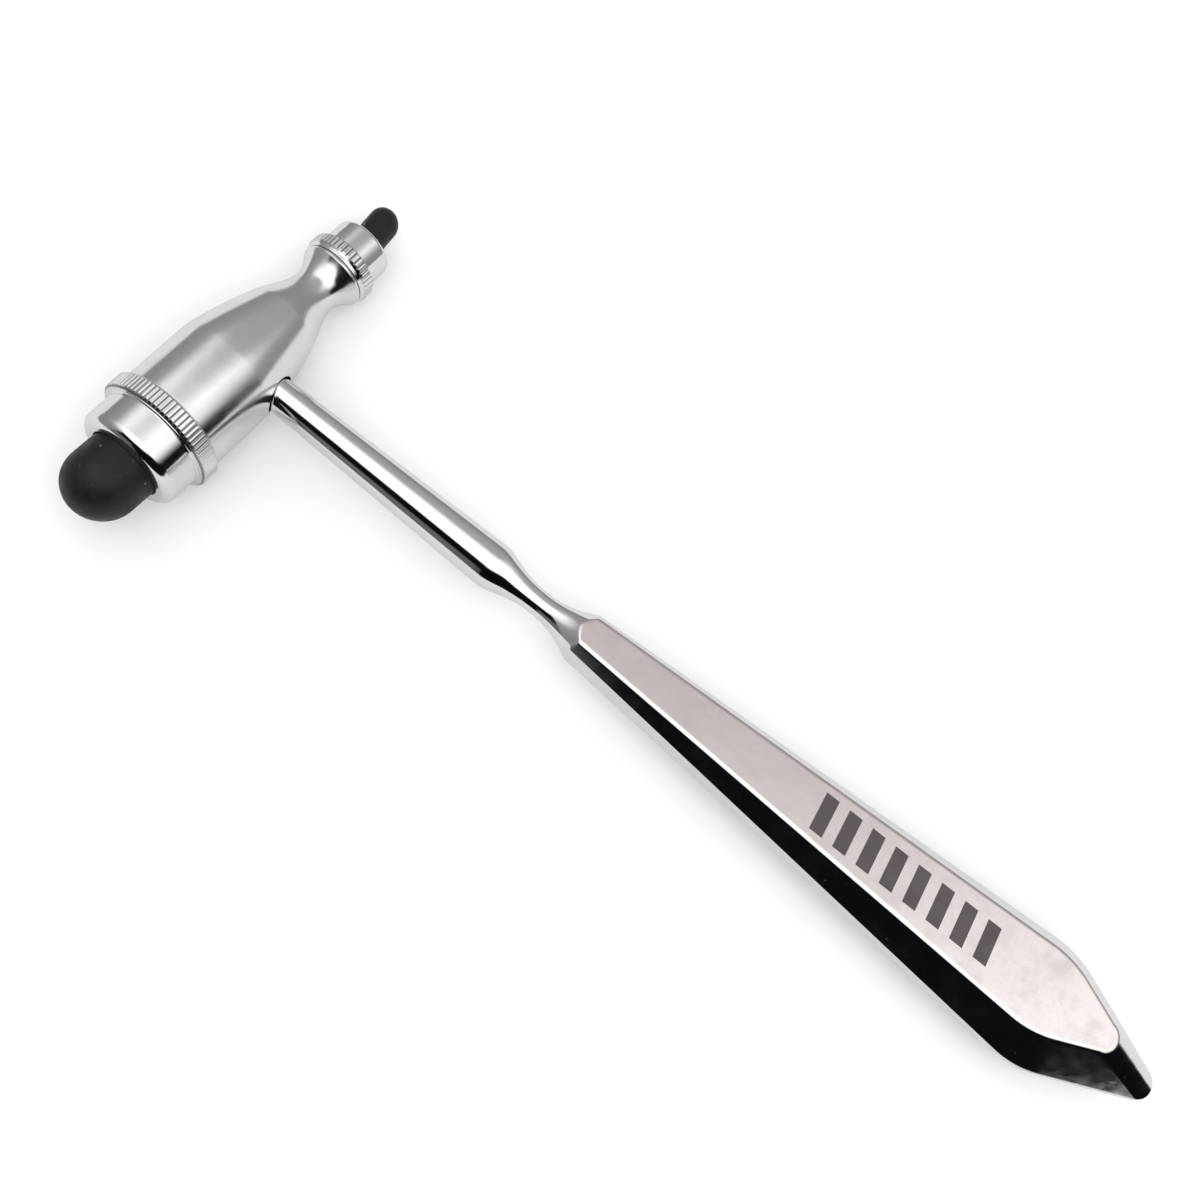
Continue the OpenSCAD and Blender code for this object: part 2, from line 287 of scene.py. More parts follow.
def around(segments):
    return np.arange(segments) * 2 * math.pi / segments


def stations(first, last, step):
    return np.linspace(first, last, max(2, int(round(abs(last - first) / step)) + 1))


TO_LARGE = Axis((-1, 0, 0), (0, 1, 0))
TO_SMALL = Axis((1, 0, 0), (0, 1, 0))
TO_POINT = Axis((0, -1, 0), (1, 0, 0))

# Stations of the caps and mallets are distances from the handle's axis. Each cap is given by its
# smooth lip behind the teeth, its knurled ring, its plain barrel and the mouth the mallet fills.
LARGE_PITCH, LARGE_SPIGOT_R, LARGE_SPIGOT_LEN = 1.27, 9.525, 7.9
LARGE_STEM_R, LARGE_STEM_LEN, LARGE_STEM_HOLE = 3.0, 6.0, 5.9
LARGE_LIP = [(12.58, 19.7, 0.1), (12.58, 20.0, 0), (12.85, 20.0, 0)]
LARGE_CAP = dict(back_slope=1.0, ring=24.1, knurl_r=13.2, teeth=76, chamfer=0.6, barrel_r=11.4,
                 edge=2.2, front=32.2, mouth_r=8.0, wall=30.4)
LARGE_MALLET = dict(r=7.8, tip=45.6, mouth=31.0, flange=28.6, flange_t=1.7, flange_r=9.25,
                    stem_r=LARGE_STEM_R, stem_len=LARGE_STEM_LEN, lean=math.radians(2))
SMALL_PITCH, SMALL_SPIGOT_R, SMALL_SPIGOT_LEN = 0.91, 5.1, 6.1
SMALL_STEM_R, SMALL_STEM_LEN, SMALL_STEM_HOLE = 1.7, 4.0, 4.0
SMALL_LIP = [(7.55, 29.5, 0.1), (7.62, 30.2, 0.2), (7.86, 30.55, 0)]
SMALL_CAP = dict(back_slope=0.7, ring=33.2, knurl_r=8.1, teeth=42, chamfer=0.35, barrel_r=6.75,
                 edge=1.0, front=39.8, mouth_r=3.7, wall=38.0)
SMALL_MALLET = dict(r=3.5, tip=50.4, mouth=38.9, flange=36.5, flange_t=1.4, flange_r=4.85,
                    stem_r=SMALL_STEM_R, stem_len=SMALL_STEM_LEN, lean=math.radians(6))
LARGE_SPIGOT_S = LARGE_SEAT + LARGE_SPIGOT_LEN
SMALL_SPIGOT_S = SMALL_SEAT + SMALL_SPIGOT_LEN


# ---------------------------------------------------------------- head body
head_curves = [bezier((HEAD_R, STRAIGHT_END_X), (HEAD_R - 0.1, -0.8), (10.4, 6.4), (BEND_R, BEND_X)),
               bezier((BEND_R, BEND_X), (7.1, 17.1), (NECK_R, 20.2), (NECK_R, NECK_X)),
               bezier((NECK_R, NECK_X), (NECK_R, 25.6), (6.3, 27.3), (RIM_FOOT_R, RIM_FOOT_X))]
curve_x = np.concatenate([[-LARGE_SEAT]] + [p[:, 1] for p, _ in head_curves])
curve_r = np.concatenate([[HEAD_R]] + [p[:, 0] for p, _ in head_curves])
curve_slope = np.concatenate([[0.0]] + [-n[:, 1] / n[:, 0] for _, n in head_curves])


def head_radius(x):
    return np.interp(x, curve_x, curve_r)


def head_slope(x):
    return np.interp(x, curve_x, curve_slope)


def head_normals(points):
    across = points[..., 1:] / np.linalg.norm(points[..., 1:], axis=-1, keepdims=True)
    return unit(np.concatenate([-head_slope(points[..., 0])[..., None], across], -1))


def screw_end(shape, axis, seat, end, pitch, crest_r, stem_r, stem_hole):
    """Threaded spigot with a chamfered end and the blind hole for a mallet's stem."""
    root = crest_r - THREAD_DEPTH * pitch
    hole_r, hole_end = stem_r + RUN_GAP, end - stem_hole
    axis.turned(shape, outline([(root, seat, 0), (root, seat + 0.3, 0)]), 192)
    axis.field(shape, thread(crest_r, pitch, seat + 0.3, end - 0.3),
               stations(seat + 0.3, end - 0.3, pitch / 12), around(192))
    axis.turned(shape, outline([(root, end - 0.3, 0), (root - 0.3, end, 0.1),
                                (stem_r + 0.25, end, 0.08), (hole_r, end - 0.2, 0.08),
                                (hole_r, hole_end, 0), (0, hole_end - 0.9, 0)]), 128)


def make_head():
    shape = Shape()
    patch_half, patch_turn = 6.0, math.radians(35)
    columns = around(360)
    x = np.concatenate([stations(-LARGE_SEAT + 0.3, -patch_half, 0.8)[:-1],
                        stations(-patch_half, patch_half, 0.25)[:-1],
                        stations(patch_half, RIM_FOOT_X, 0.35)])
    xs, ts = np.meshgrid(x, columns, indexing="ij")
    skin = np.stack([xs, head_radius(xs) * np.cos(ts), head_radius(xs) * np.sin(ts)], -1)
    low, high = np.searchsorted(x, -patch_half - 1e-6), np.searchsorted(x, patch_half - 1e-6)
    left = int(round(math.degrees(math.pi - patch_turn)))
    right = int(round(math.degrees(math.pi + patch_turn)))
    shape.grid(skin[:low + 1], head_normals(skin[:low + 1]))
    shape.grid(skin[high:], head_normals(skin[high:]))
    rest = np.concatenate([skin[low:high + 1, right:], skin[low:high + 1, :left + 1]], 1)
    shape.grid(rest, head_normals(rest), wrap=False)

    # the patch round the handle's hole runs from a frame of grid points to the hole's edge
    block = skin[low:high + 1, left:right + 1]
    rim = np.concatenate([block[0, :-1], block[:-1, -1], block[-1, :0:-1], block[:0:-1, 0]])
    angle = np.arctan2(rim[:, 2], rim[:, 0])
    ring = np.stack([np.cos(angle), np.sin(angle)], 1)
    edge_r = 0.22
    levels = 1 - (1 - np.linspace(0, 1, 15)) ** 1.6

    def on_head(flat):
        y = -np.sqrt(head_radius(flat[..., 0]) ** 2 - flat[..., 1] ** 2)
        return np.stack([flat[..., 0], y, flat[..., 1]], -1)

    corner = on_head(ring * HOLE_R)
    away = unit(on_head(ring * (HOLE_R + 0.05)) - corner)
    inward = np.broadcast_to([0.0, 1.0, 0.0], away.shape)
    edge, edge_n = fillet(corner, away, inward, edge_r, 5)
    edge, edge_n = edge.transpose(1, 0, 2), edge_n.transpose(1, 0, 2)
    start = edge[0][:, [0, 2]]
    flat = rim[:, [0, 2]][None] * (1 - levels[:, None, None]) + start[None] * levels[:, None, None]
    patch = on_head(flat)
    shape.grid(patch, head_normals(patch))
    shape.grid(edge, edge_n)
    wall_top = edge[-1]
    wall_end = np.stack([ring[:, 0] * HOLE_R, np.full(len(ring), -SOCKET_D), ring[:, 1] * HOLE_R], 1)
    wall_n = -np.stack([ring[:, 0], np.zeros(len(ring)), ring[:, 1]], 1)
    shape.grid(np.stack([wall_top, wall_end]), np.stack([wall_n, wall_n]))

    # floor of the counterbore and the threaded hole for the stud
    root = STUD_R + RUN_GAP - THREAD_DEPTH * STUD_PITCH
    deep = SHOULDER_D - STUD_LEN - STUD_ROOM
    TO_POINT.turned(shape, outline([(0, deep, 0), (root, deep + 0.4, 0), (root, deep + 0.8, 0)]), 128)
    TO_POINT.field(shape, thread(STUD_R, STUD_PITCH, deep + 0.8, SOCKET_D + 0.5, RUN_GAP),
                   stations(deep + 0.8, SOCKET_D - 0.3, STUD_PITCH / 12), around(128), inside=True)
    TO_POINT.turned(shape, [(np.array([(root + 0.2, SOCKET_D - 0.3), (STUD_R + 0.35, SOCKET_D)]),
                             np.array([(-0.7, 0.7), (-0.7, 0.7)]))], 128)
    TO_POINT.turned(shape, [(np.array([(STUD_R + 0.35, SOCKET_D), (HOLE_R, SOCKET_D)]),
                             np.array([(0, 1.0), (0, 1.0)]))], 128)

    # shoulder under the large cap, rim under the small cap and the two threaded ends
    root = LARGE_SPIGOT_R - THREAD_DEPTH * LARGE_PITCH
    TO_LARGE.turned(shape, outline([(HEAD_R, LARGE_SEAT - 0.3, 0), (HEAD_R, LARGE_SEAT, 0.25),
                                    (root, LARGE_SEAT, 0)]), 360)
    root = SMALL_SPIGOT_R - THREAD_DEPTH * SMALL_PITCH
    TO_SMALL.turned(shape, outline([(RIM_FOOT_R, RIM_FOOT_X, 0), (RIM_R, 28.75, 0.3),
                                    (RIM_R, SMALL_SEAT, 0.2), (root, SMALL_SEAT, 0)]), 360)
    screw_end(shape, TO_LARGE, LARGE_SEAT, LARGE_SPIGOT_S, LARGE_PITCH, LARGE_SPIGOT_R,
              LARGE_STEM_R, LARGE_STEM_HOLE)
    screw_end(shape, TO_SMALL, SMALL_SEAT, SMALL_SPIGOT_S, SMALL_PITCH, SMALL_SPIGOT_R,
              SMALL_STEM_R, SMALL_STEM_HOLE)
    return shape.build("head_shell")


# ---------------------------------------------------------------- screw caps
def knurl(crest_r, teeth, first, last, back_r, back_slope, chamfer):
    """Radius of a ring of straight teeth: crowned lands, narrow grooves and sloped ends."""
    def radius(s, t):
        wave = triangle_wave(t * teeth / (2 * math.pi))
        groove = TOOTH_DEPTH * (1 - smooth_step(0.0, GROOVE_SHARE, wave))
        tooth = crest_r - TOOTH_CROWN * (1 - wave) ** 2 - groove
        back = back_r + (s - first) * back_slope
        front = crest_r - chamfer + last - s
        return np.minimum(tooth, np.minimum(back, front))
    return radius


def make_cap(name, axis, pitch, spigot_r, lip, back_slope, ring, knurl_r, teeth, chamfer, barrel_r,
             edge, front, mouth_r, wall):
    """A screw cap from its back to its mouth. lip is the outline of the smooth part behind the teeth."""
    shape = Shape()
    inner_root = spigot_r + RUN_GAP - THREAD_DEPTH * pitch
    back = lip[0][1]
    back_r, ring_back = lip[-1][:2]
    axis.turned(shape, outline([(spigot_r + 0.5, back, 0), *lip]), 256)
    ends = np.linspace(0, 0.7, 13)
    middle = stations(ring_back + 0.7, ring - 0.7, 0.5)[1:-1]
    rows = np.concatenate([ring_back + ends, middle, (ring - ends)[::-1]])
    # the groove depth is kept for the material, which darkens the grooves: part grime, part painted shade
    axis.field(shape, knurl(knurl_r, teeth, ring_back, ring, back_r, back_slope, chamfer), rows,
               around(teeth * 14),
               groove=lambda r: np.clip((knurl_r - TOOTH_CROWN - r) / TOOTH_DEPTH, 0, 1))
    # front face of the ring, barrel, rounded shoulder, mouth
    axis.turned(shape, outline([(knurl_r - chamfer, ring, 0), (barrel_r, ring, 0.25),
                                (barrel_r, front, edge), (mouth_r, front, 0.22),
                                (mouth_r, wall, 0), (spigot_r + 0.3, wall, 0)]), 320)
    axis.turned(shape, outline([(spigot_r + 0.3, wall, 0), (spigot_r + 0.3, wall - 1.2, 0.1),
                                (inner_root, wall - 1.5, 0)]), 256)
    axis.field(shape, thread(spigot_r, pitch, back - 1, wall - 1.5, RUN_GAP),
               stations(wall - 1.5, back + 0.5, pitch / 12), around(256), inside=True)
    axis.turned(shape, [(np.array([(inner_root, back + 0.5), (spigot_r + 0.5, back)]),
                         np.array([(-0.7, -0.7), (-0.7, -0.7)]))], 256)
    return shape.build(name)


# ---------------------------------------------------------------- mallets
def make_mallet(name, axis, r, tip, mouth, flange, flange_t, flange_r, stem_r, stem_len, lean):
    """Moulded rubber: stem, flange, barrel and a domed nose that leans a little off its axis."""
    shape = Shape()
    stem_end, flange_end = flange - stem_len, flange + flange_t
    runs = outline([(0, stem_end, 0), (stem_r, stem_end, 0.3), (stem_r, flange, 0.3),
                    (flange_r, flange, 0.25), (flange_r, flange_end, 0.25), (r, flange_end, 0.2),
                    (r, mouth, 0)])
    axis.turned(shape, runs, 192)
    start = tip - r
    dome_a = np.linspace(0, 1, 60) * math.pi / 2
    barrel = stations(mouth, start, 0.35)[:-1]
    p = np.concatenate([np.stack([np.full(len(barrel), r), barrel], 1),
                        np.stack([r * np.cos(dome_a), start + r * np.sin(dome_a)], 1)])
    n = np.concatenate([np.tile([1.0, 0.0], (len(barrel), 1)),
                        np.stack([np.cos(dome_a), np.sin(dome_a)], 1)])
    before = len(shape.points)
    axis.turned(shape, [(p, n)], 192)
    # beyond the mouth of the cap the mallet leans away from the handle
    away = np.array([0.0, 1.0, 0.0])
    points, normals = shape.points[before], shape.normals[before]
    out = points @ axis.along - mouth
    shape.points[before] = points + (math.tan(lean) * out * smooth_step(-0.01, 1.5, out))[:, None] * away
    turned_n = normals - (normals @ away)[:, None] * math.tan(lean) * axis.along
    shape.normals[before] = unit(turned_n)
    return shape.build(name)


# ---------------------------------------------------------------- handle
def kite(start_w, wide_w, wide_d, taper, tip_r, shares):
    """Half outline of the grip from above as points (x, distance) and unit tangents, in four
    stretches: side, shoulder arc, point, tip arc. shares are the places along the side."""
    start, wide = np.array([start_w, GRIP_START_D]), np.array([wide_w, wide_d])
    tip = np.array([0.0, wide_d + wide_w / math.tan(POINT_HALF)])
    d0 = np.array([math.sin(taper), math.cos(taper)])
    d1 = np.array([-math.sin(POINT_HALF), math.cos(POINT_HALF)])
    turn = taper + POINT_HALF
    cut = SHOULDER_R * math.tan(turn / 2)
    first, last = wide - d0 * cut, wide + d1 * cut
    tip_first = tip - d1 * tip_r * (1 / math.tan(POINT_HALF))
    points, tangents = [start + (first - start) * s for s in shares], [d0] * len(shares)
    centre = first + SHOULDER_R * np.array([-d0[1], d0[0]])
    for t in np.linspace(0, 1, 41)[1:]:
        a = t * turn
        d = np.array([math.sin(taper - a), math.cos(taper - a)])
        tangents.append(d)
        points.append(centre - SHOULDER_R * np.array([-d[1], d[0]]))
    for t in np.linspace(0, 1, 17)[1:]:
        points.append(last + (tip_first - last) * t)
        tangents.append(d1)
    centre = tip_first + tip_r * np.array([-d1[1], d1[0]])
    for t in np.linspace(0, 1, 25)[1:]:
        a = POINT_HALF + t * (math.pi / 2 - POINT_HALF)
        d = np.array([-math.sin(a), math.cos(a)])
        tangents.append(d)
        points.append(centre - tip_r * np.array([-d[1], d[0]]))
    return np.array(points), np.array(tangents)


def flare(d):
    """Radius and slope of the hollow curve from the waist into the grip."""
    level = np.sqrt(FLARE_BEND ** 2 - (d - WAIST_D) ** 2)
    return WAIST_R + FLARE_BEND - level, (d - WAIST_D) / level


def grip_quarter():
    """Rows of points and normals over a quarter of the grip, from the middle of the front face to
    the middle of the blunt edge. The rows run from the narrow end to the point."""
    start_w = HALF_W - (WIDE_D - GRIP_START_D) * math.tan(SIDE_TAPER)
    flat_start_w = HALF_FLAT - (FLAT_WIDE_D - GRIP_START_D) * math.tan(FLAT_TAPER)
    flat_cut = SHOULDER_R * math.tan((FLAT_TAPER + POINT_HALF) / 2) * math.cos(FLAT_TAPER)
    side_cut = SHOULDER_R * math.tan((SIDE_TAPER + POINT_HALF) / 2) * math.cos(SIDE_TAPER)
    flat_len = FLAT_WIDE_D - flat_cut - GRIP_START_D
    side_len = WIDE_D - side_cut - GRIP_START_D
    along = np.concatenate([stations(0, FLARE_OUT_D - GRIP_START_D, 0.15)[:-1],
                            stations(FLARE_OUT_D - GRIP_START_D, flat_len, 2.5)])
    beyond = np.clip((along - (FLARE_OUT_D - GRIP_START_D)) / (flat_len - FLARE_OUT_D + GRIP_START_D), 0, 1)
    flat, flat_t = kite(flat_start_w, HALF_FLAT, FLAT_WIDE_D, FLAT_TAPER, FLAT_TIP_R, along / flat_len)
    mid, mid_t = kite(start_w, HALF_W, WIDE_D, SIDE_TAPER, NOSE_R,
                      (along + (side_len - flat_len) * beyond ** 2) / side_len)
    rise = math.tan(FLAT_RISE)
    band = BAND_START - (mid[:, 1] - GRIP_START_D) * math.tan(BAND_FALL)
    turning = mid[:, 1] > WIDE_D
    band_wide = BAND_START - (WIDE_D - GRIP_START_D) * math.tan(BAND_FALL)
    share = (mid[:, 1] - WIDE_D) / (REACH - WIDE_D)
    band = np.where(turning, band_wide + (NOSE_BAND - band_wide) * smooth_step(0, 1, share), band)
    flat3 = np.stack([flat[:, 0], -flat[:, 1], HALF_T + (flat[:, 1] - FLAT_WIDE_D) * rise], 1)
    mid3 = np.stack([mid[:, 0], -mid[:, 1], band], 1)
    flat_dir = unit(np.stack([flat_t[:, 0], -flat_t[:, 1], flat_t[:, 1] * rise], 1))
    mid_dir = unit(np.stack([mid_t[:, 0], -mid_t[:, 1], 0 * band], 1))
    face_n = unit(np.broadcast_to([0, rise, 1.0], flat3.shape))
    down = np.broadcast_to([0, 0, -1.0], flat3.shape)
    rib = mid3 - flat3
    inward = unit(-np.cross(face_n, flat_dir))
    rib_a = unit(rib - (rib * flat_dir).sum(1, keepdims=True) * flat_dir)
    rib_b = unit(-rib + (rib * mid_dir).sum(1, keepdims=True) * mid_dir)
    top, top_n = fillet(flat3, inward, rib_a, FLAT_EDGE_R, 8)
    low, low_n = fillet(mid3, rib_b, down, BLUNT_EDGE_R, 4)
    shares = np.linspace(0, 1, 13)
    face = top[:, :1] * np.stack([shares[:-1], 0 * shares[:-1] + 1, 0 * shares[:-1] + 1], 1)[None]
    face_ns = np.broadcast_to(face_n[:, None], face.shape)
    t = np.linspace(0, 1, 13)[1:-1][None, :, None]
    bevel = top[:, -1:] * (1 - t) + low[:, :1] * t
    bevel_n = unit(np.cross(flat_dir[:, None] * (1 - t) + mid_dir[:, None] * t, rib[:, None]))
    fade = np.linspace(1, 0, 8)[1:]
    edge = low[:, -1:] * np.stack([0 * fade + 1, 0 * fade + 1, fade], 1)[None]
    edge_n = np.broadcast_to(low_n[:, -1:], edge.shape)
    points = np.concatenate([face, top, bevel, low, edge], 1)
    normals = np.concatenate([face_ns, top_n, bevel_n, low_n, edge_n], 1)
    return points, unit(normals)


def flared(points, normals):
    """Where the planes of the grip come out of the round flare, the smaller of the two is the surface."""
    d = -points[..., 1]
    inside = d < FLARE_OUT_D + 4
    flat_r = np.linalg.norm(points[..., [0, 2]], axis=-1)
    round_r, slope = flare(np.where(inside, d, FLARE_OUT_D))
    soft = 0.25
    near = np.clip(0.5 + (flat_r - round_r) / (2 * soft), 0, 1)
    r = flat_r * (1 - near) + round_r * near - soft * near * (1 - near)
    out = np.stack([points[..., 0], 0 * d, points[..., 2]], -1) / flat_r[..., None]
    round_n = out.copy()
    round_n[..., 1] = slope
    flat_n = normals / np.maximum((normals * out).sum(-1, keepdims=True), 0.05)
    mixed = unit(flat_n * (1 - near[..., None]) + round_n * near[..., None])
    moved = out * r[..., None]
    moved[..., 1] = points[..., 1]
    inside = inside[..., None]
    return np.where(inside, moved, points), np.where(inside, mixed, normals)


def mirrored(points, normals):
    """Four mirrored quarters as one closed row round the grip."""
    flip_z, flip_x = np.array([1, 1, -1.0]), np.array([-1, 1, 1.0])
    half = [np.concatenate([a, a[:, -2::-1] * flip_z], 1) for a in (points, normals)]
    return [np.concatenate([a, a[:, -2:0:-1] * flip_x], 1) for a in half]


def make_handle():
    shape = Shape()
    points, normals = mirrored(*flared(*grip_quarter()))
    shape.grid(points, normals)
    # the round stretches share the columns of the grip's first row
    first = points[0]
    columns = np.arctan2(first @ TO_POINT.v, first @ TO_POINT.u)
    waist = bezier((SHAFT_LOW_R, SHAFT_END_D), (SHAFT_LOW_R, SHAFT_END_D + 4),
                   (WAIST_R, SHAFT_END_D + 5.8), (WAIST_R, WAIST_D), 90)
    taper = (SHAFT_LOW_R - SHAFT_R) / (SHAFT_END_D - SHOULDER_D)
    d = stations(SHOULDER_D + 0.3, SHAFT_END_D, 2.0)
    shaft = (np.stack([SHAFT_R + (d - SHOULDER_D) * taper, d], 1),
             unit(np.stack([0 * d + 1, -taper * smooth_step(SHAFT_END_D, SHAFT_END_D - 3, d)], 1)))
    TO_POINT.turned(shape, [shaft, waist], angles=columns)
    root = STUD_R - THREAD_DEPTH * STUD_PITCH
    end = SHOULDER_D - STUD_LEN
    TO_POINT.turned(shape, outline([(0, end, 0), (root - 0.25, end, 0.1), (root, end + 0.35, 0)]), 128)
    TO_POINT.field(shape, thread(STUD_R, STUD_PITCH, end + 0.35, SHOULDER_D - 0.6),
                   stations(end + 0.35, SHOULDER_D - 0.6, STUD_PITCH / 12), around(128))
    TO_POINT.turned(shape, outline([(root, SHOULDER_D - 0.6, 0), (root, SHOULDER_D, 0.15),
                                    (SHAFT_R, SHOULDER_D, 0.2), (SHAFT_R, SHOULDER_D + 0.3, 0)]),
                    angles=columns)
    return shape.build("handle_forging")


# ---------------------------------------------------------------- materials
# colour deep in the knurl's grooves: part grime, part painted shade
GROOVE_GRIME_AND_SHADE = (0.26, 0.26, 0.27)
FLAT_TINT, WORN_TINT = (0.91, 0.85, 0.835), (0.79, 0.735, 0.72)
FLAT_HAZE, WORN_HAZE = 0.08, 0.12
ETCHED = (0.16, 0.145, 0.14)
FINISH_FROM_D, FINISH_FULL_D = 84.0, 86.0
SCUFFS_FROM_D, SCUFFS_FULL_D = 120.0, 200.0
BARS_START_D, BAR_COUNT, BAR_PITCH, BAR_SHARE = 147.5, 8, 5.6, 0.55
BAR_HALF, BAR_SLANT = 4.2, 0.12


class Nodes:
    """Short names for building a node tree."""

    def __init__(self, tree):
        self.tree, self.links = tree, tree.links

    def add(self, kind, **values):
        node = self.tree.nodes.new(kind)
        for key, value in values.items():
            setattr(node, key, value)
        return node

    def link(self, a, b):
        self.links.new(a, b)

    def place(self, scale=(1, 1, 1)):
        """Tool-frame millimetres of the shaded point, scaled."""
        source = self.add("ShaderNodeAttribute", attribute_name="place")
        mapping = self.add("ShaderNodeMapping")
        mapping.inputs["Scale"].default_value = scale
        self.link(source.outputs["Vector"], mapping.inputs["Vector"])
        return mapping.outputs["Vector"]

    def noise(self, vector, scale, detail=3.0, rough=0.55):
        node = self.add("ShaderNodeTexNoise")
        node.inputs["Scale"].default_value = scale
        node.inputs["Detail"].default_value = detail
        node.inputs["Roughness"].default_value = rough
        self.link(vector, node.inputs["Vector"])
        return node.outputs["Fac"]

    def remap(self, value, a, b, c, d):
        node = self.add("ShaderNodeMapRange")
        for name, v in zip(("From Min", "From Max", "To Min", "To Max"), (a, b, c, d)):
            node.inputs[name].default_value = v
        self.link(value, node.inputs["Value"])
        return node.outputs["Result"]

    def math(self, operation, a, b=None, c=None):
        node = self.add("ShaderNodeMath", operation=operation)
        for i, v in enumerate((a, b, c)):
            if v is None:
                continue
            if isinstance(v, (int, float)):
                node.inputs[i].default_value = v
            else:
                self.link(v, node.inputs[i])
        return node.outputs[0]

    def mix_colour(self, factor, a, b):
        node = self.add("ShaderNodeMix", data_type="RGBA")
        for socket, v in ((node.inputs[0], factor), (node.inputs[6], a), (node.inputs[7], b)):
            if isinstance(v, (int, float)):
                socket.default_value = v
            elif isinstance(v, tuple):
                socket.default_value = (*v, 1)
            else:
                self.link(v, socket)
        return node.outputs[2]

    def bump(self, height, strength, distance, normal=None):
        node = self.add("ShaderNodeBump")
        node.inputs["Strength"].default_value = strength
        node.inputs["Distance"].default_value = distance
        self.link(height, node.inputs["Height"])
        if normal is not None:
            self.link(normal, node.inputs["Normal"])
        return node.outputs["Normal"]


def new_material(name):
    material = bpy.data.materials.new(name)
    material.use_nodes = True
    nodes = Nodes(material.node_tree)
    shader = material.node_tree.nodes["Principled BSDF"]
    return material, nodes, shader


def chrome(name, tint, scratch_scale, scratch, low, high):
    """Polished chrome plate: a faint waviness, fine polishing lines, smudges and tiny pits; deep in knurl
    grooves the colour darkens, part grime and part painted shade.
    """
    material, n, shader = new_material(name)
    shader.inputs["Metallic"].default_value = 1.0
    place = n.place()
    lines = n.noise(n.place(scratch_scale), 1.0, 4.0, 0.6)
    cloud = n.noise(place, 0.16, 5.0, 0.62)
    waves = n.noise(place, 0.12, 2.0, 0.5)
    pits = n.add("ShaderNodeTexVoronoi")
    pits.inputs["Scale"].default_value = 0.45
    n.link(place, pits.inputs["Vector"])
    pit = n.remap(pits.outputs["Distance"], 0.02, 0.05, 0.0, 1.0)
    smudges = n.remap(cloud, 0.42, 0.68, 0.0, 1.0)
    roughness = n.math("MULTIPLY_ADD", smudges, high - low, low)
    roughness = n.math("MULTIPLY_ADD", n.remap(lines, 0.35, 0.65, 0.0, 1.0), 0.04, roughness)
    colour = n.mix_colour(smudges, tint, tuple(0.95 * v for v in tint))
    # deep in the knurl's grooves the colour darkens: part grime, part painted shade
    groove = n.add("ShaderNodeAttribute", attribute_name="groove").outputs["Fac"]
    colour = n.mix_colour(n.remap(groove, 0.15, 0.7, 0.0, 1.0), colour, GROOVE_GRIME_AND_SHADE)
    roughness = n.math("MULTIPLY_ADD", groove, 0.2, roughness)
    normal = n.bump(waves, 0.3, 0.00012)
    normal = n.bump(lines, 0.3, scratch, normal)
    normal = n.bump(pit, 0.3, 0.00004, normal)
    n.link(normal, shader.inputs["Normal"])
    n.link(roughness, shader.inputs["Roughness"])
    n.link(colour, shader.inputs["Base Color"])
    return material, n, shader, colour, roughness


def grip_finish(n, shader, colour, roughness):
    """The flats of the grip have a warmer, hazier finish, and the front one an etched row of bars."""
    source = n.add("ShaderNodeAttribute", attribute_name="place")
    axes = n.add("ShaderNodeSeparateXYZ")
    n.link(source.outputs["Vector"], axes.inputs[0])
    x, y, z = axes.outputs
    rise = math.tan(FLAT_RISE)
    level = n.math("MULTIPLY_ADD", y, -rise, HALF_T - FLAT_WIDE_D * rise)
    below = n.math("SUBTRACT", level, n.math("ABSOLUTE", z))
    flat = n.math("MULTIPLY", n.remap(below, 0.03, 0.35, 1.0, 0.0),
                  n.remap(y, -FINISH_FULL_D, -FINISH_FROM_D, 1.0, 0.0))
    # cloudy wear, and small scuffs that gather towards the wide end
    cloud = n.noise(source.outputs["Vector"], 0.13, 7.0, 0.68)
    worn = n.remap(cloud, 0.46, 0.66, 0.0, 1.0)
    fine = n.noise(source.outputs["Vector"], 1.1, 5.0, 0.7)
    scuffs = n.math("MULTIPLY", n.remap(fine, 0.60, 0.68, 0.0, 1.0),
                    n.remap(y, -SCUFFS_FROM_D, -SCUFFS_FULL_D, 0.0, 1.0))
    worn = n.math("MAXIMUM", worn, scuffs)
    colour = n.mix_colour(flat, colour, n.mix_colour(worn, FLAT_TINT, WORN_TINT))
    roughness = n.math("MULTIPLY_ADD", flat, n.math("MULTIPLY_ADD", worn, WORN_HAZE, FLAT_HAZE), roughness)
    # distance along the row in bars, slanted
    along = n.math("MULTIPLY_ADD", y, -1 / BAR_PITCH, -BARS_START_D / BAR_PITCH)
    along = n.math("MULTIPLY_ADD", x, BAR_SLANT / BAR_PITCH, along)
    bar = n.math("LESS_THAN", n.math("FRACT", along), BAR_SHARE)
    inside = n.math("MULTIPLY", n.math("GREATER_THAN", along, 0.0),
                    n.math("LESS_THAN", along, float(BAR_COUNT)))
    inside = n.math("MULTIPLY", inside, n.math("LESS_THAN", n.math("ABSOLUTE", x), BAR_HALF))
    inside = n.math("MULTIPLY", inside, n.math("GREATER_THAN", z, 0.0))
    etched = n.math("MULTIPLY", n.math("MULTIPLY", bar, inside), flat)
    n.link(n.mix_colour(etched, colour, ETCHED), shader.inputs["Base Color"])
    n.link(n.math("MULTIPLY_ADD", etched, 0.3, roughness), shader.inputs["Roughness"])


